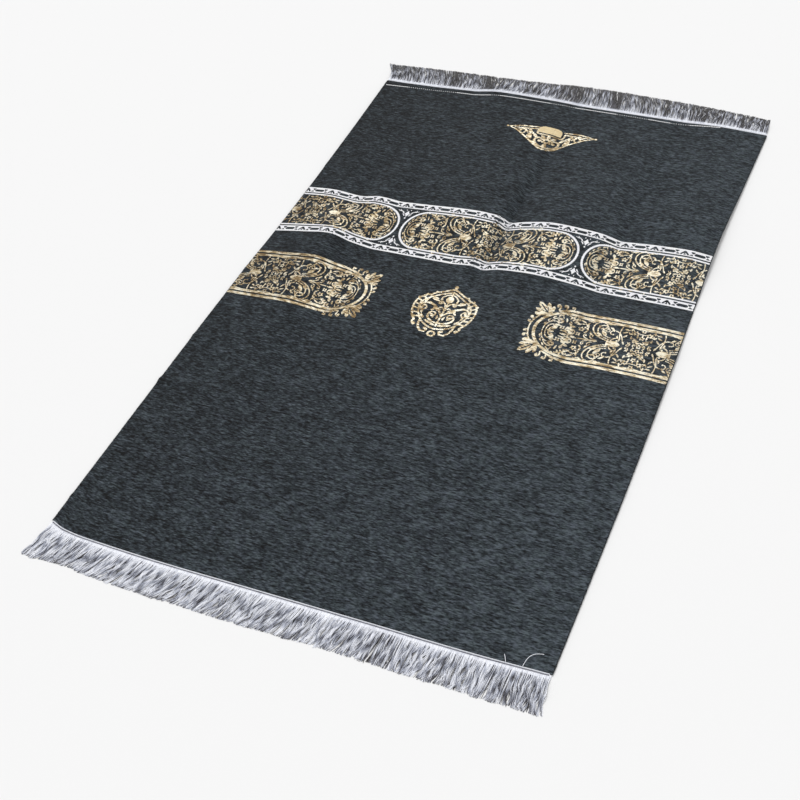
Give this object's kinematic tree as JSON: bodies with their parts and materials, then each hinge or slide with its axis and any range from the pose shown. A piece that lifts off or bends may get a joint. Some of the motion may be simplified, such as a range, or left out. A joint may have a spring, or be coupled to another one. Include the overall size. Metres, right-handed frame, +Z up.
{
  "type": "prayer rug",
  "caption": "Thin charcoal woven prayer rug lying in low fold waves, with gold and white arabesque bands and a fringe sewn to each end.",
  "frame": {"origin": "middle of the rug on the floor that it lies on", "axes": "+X across the rug to the right seen from the foot end, +Y along the rug to the head end with the pointed ornament, +Z up"},
  "size_m": [0.7124, 1.2325, 0.0194],
  "materials": {
    "charcoal_chenille": "woven chenille weft, charcoal with fine lighter and darker streaks, soft low sheen",
    "fringe_yarn": "fine silver-white and grey twisted yarn, slightly glossy",
    "gold_yarn": "woven light gold yarn, soft sheen",
    "white_yarn": "woven bright white yarn, soft sheen"
  },
  "bodies": {
    "root": {"rug_cloth": "charcoal_chenille", "fringe_head": "fringe_yarn", "fringe_foot": "fringe_yarn"}
  },
  "joints": []
}
